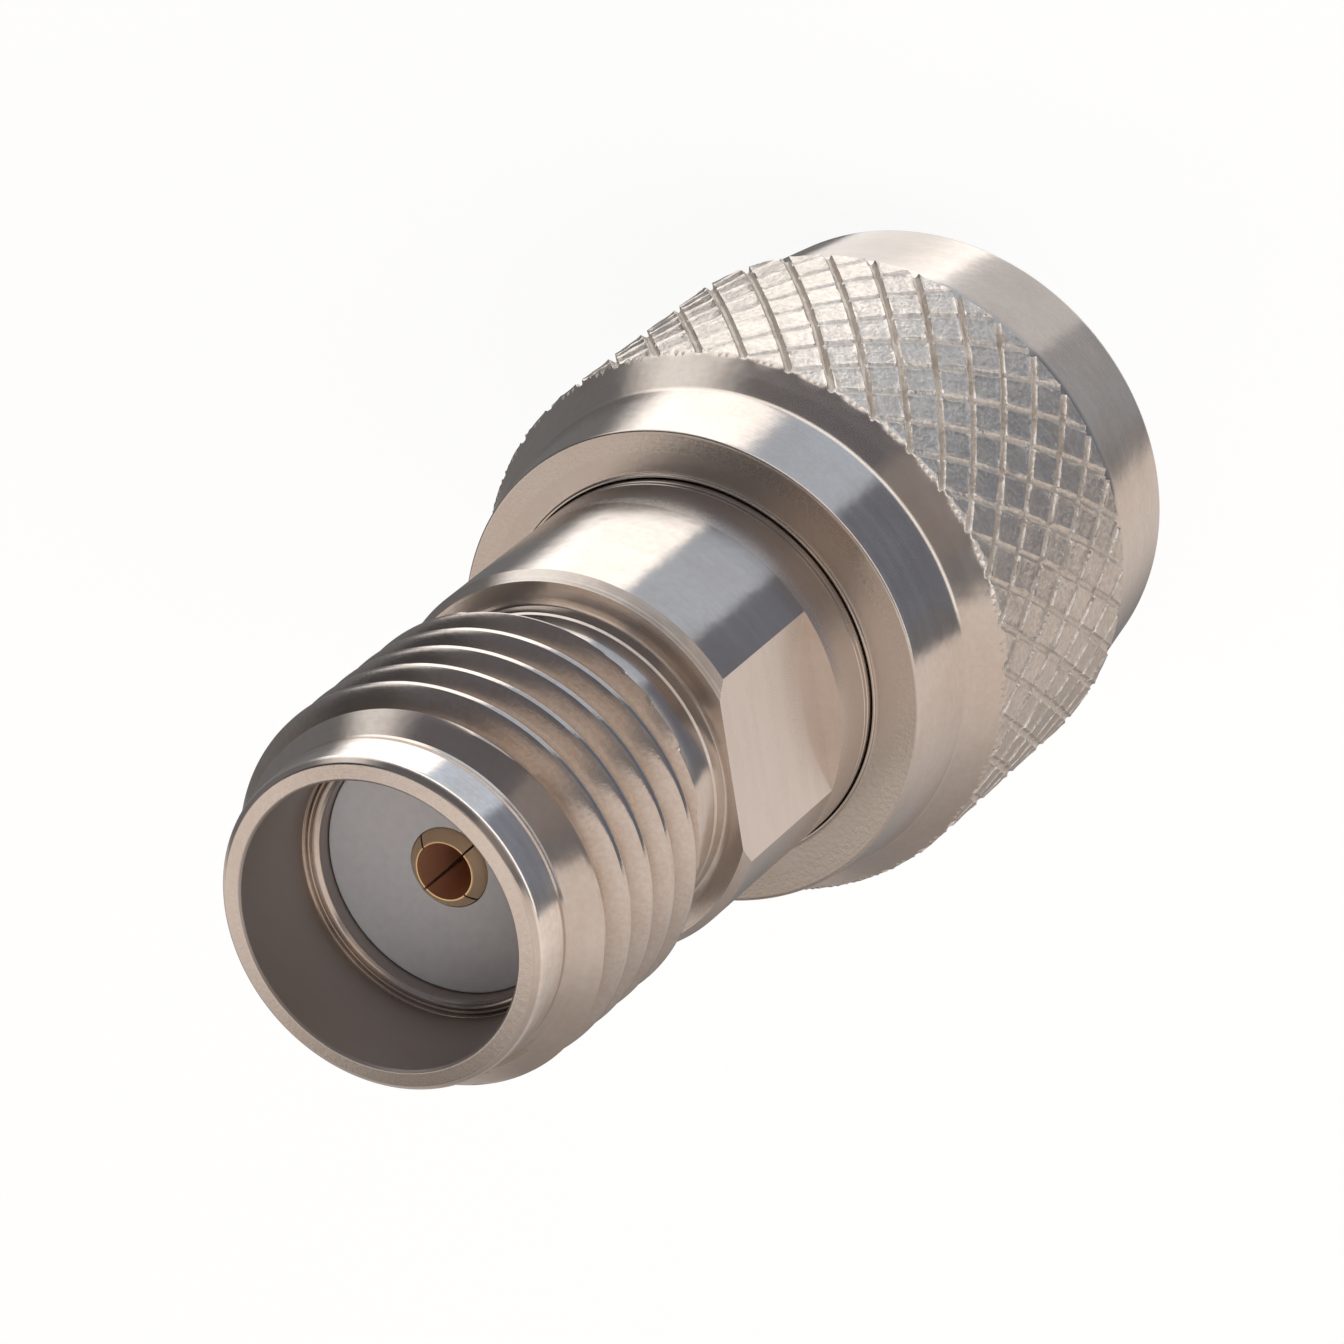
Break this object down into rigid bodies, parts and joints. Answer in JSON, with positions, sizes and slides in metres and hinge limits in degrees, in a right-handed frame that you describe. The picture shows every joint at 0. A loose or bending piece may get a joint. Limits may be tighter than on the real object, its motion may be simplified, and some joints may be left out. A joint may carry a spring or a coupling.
{
  "type": "coaxial jack to plug adapter",
  "caption": "Straight coaxial adapter: threaded jack with a slotted socket at one end, pin plug with a free-turning diamond-knurled coupling nut at the other.",
  "frame": {"origin": "centre of the coupling nut's front face, at the plug end", "axes": "+Z along the connector's axis from the plug end to the jack's mouth; the two wrench flats face -Y and +Y"},
  "size_m": [0.0092, 0.0092, 0.0189],
  "materials": {
    "stainless": "fine turned, passivated",
    "spring_alloy": "plain spring metal",
    "silicone": "matte",
    "white_plastic": "smooth, slightly translucent",
    "gold_plate": "bright plated"
  },
  "bodies": {
    "body": {"jack_body": "stainless", "retaining_ring": "spring_alloy", "plug_ferrule": "stainless", "seal_gasket": "silicone", "jack_insulator": "white_plastic", "plug_insulator": "white_plastic", "socket_contact": "gold_plate", "pin_contact": "gold_plate"},
    "nut": {"coupling_nut": "stainless"}
  },
  "joints": [
    {"name": "nut_spin", "type": "hinge", "parent": "body", "child": "nut", "pos_m": [0, 0, 0.0065], "axis": [0, 0, 1], "continuous": true}
  ]
}
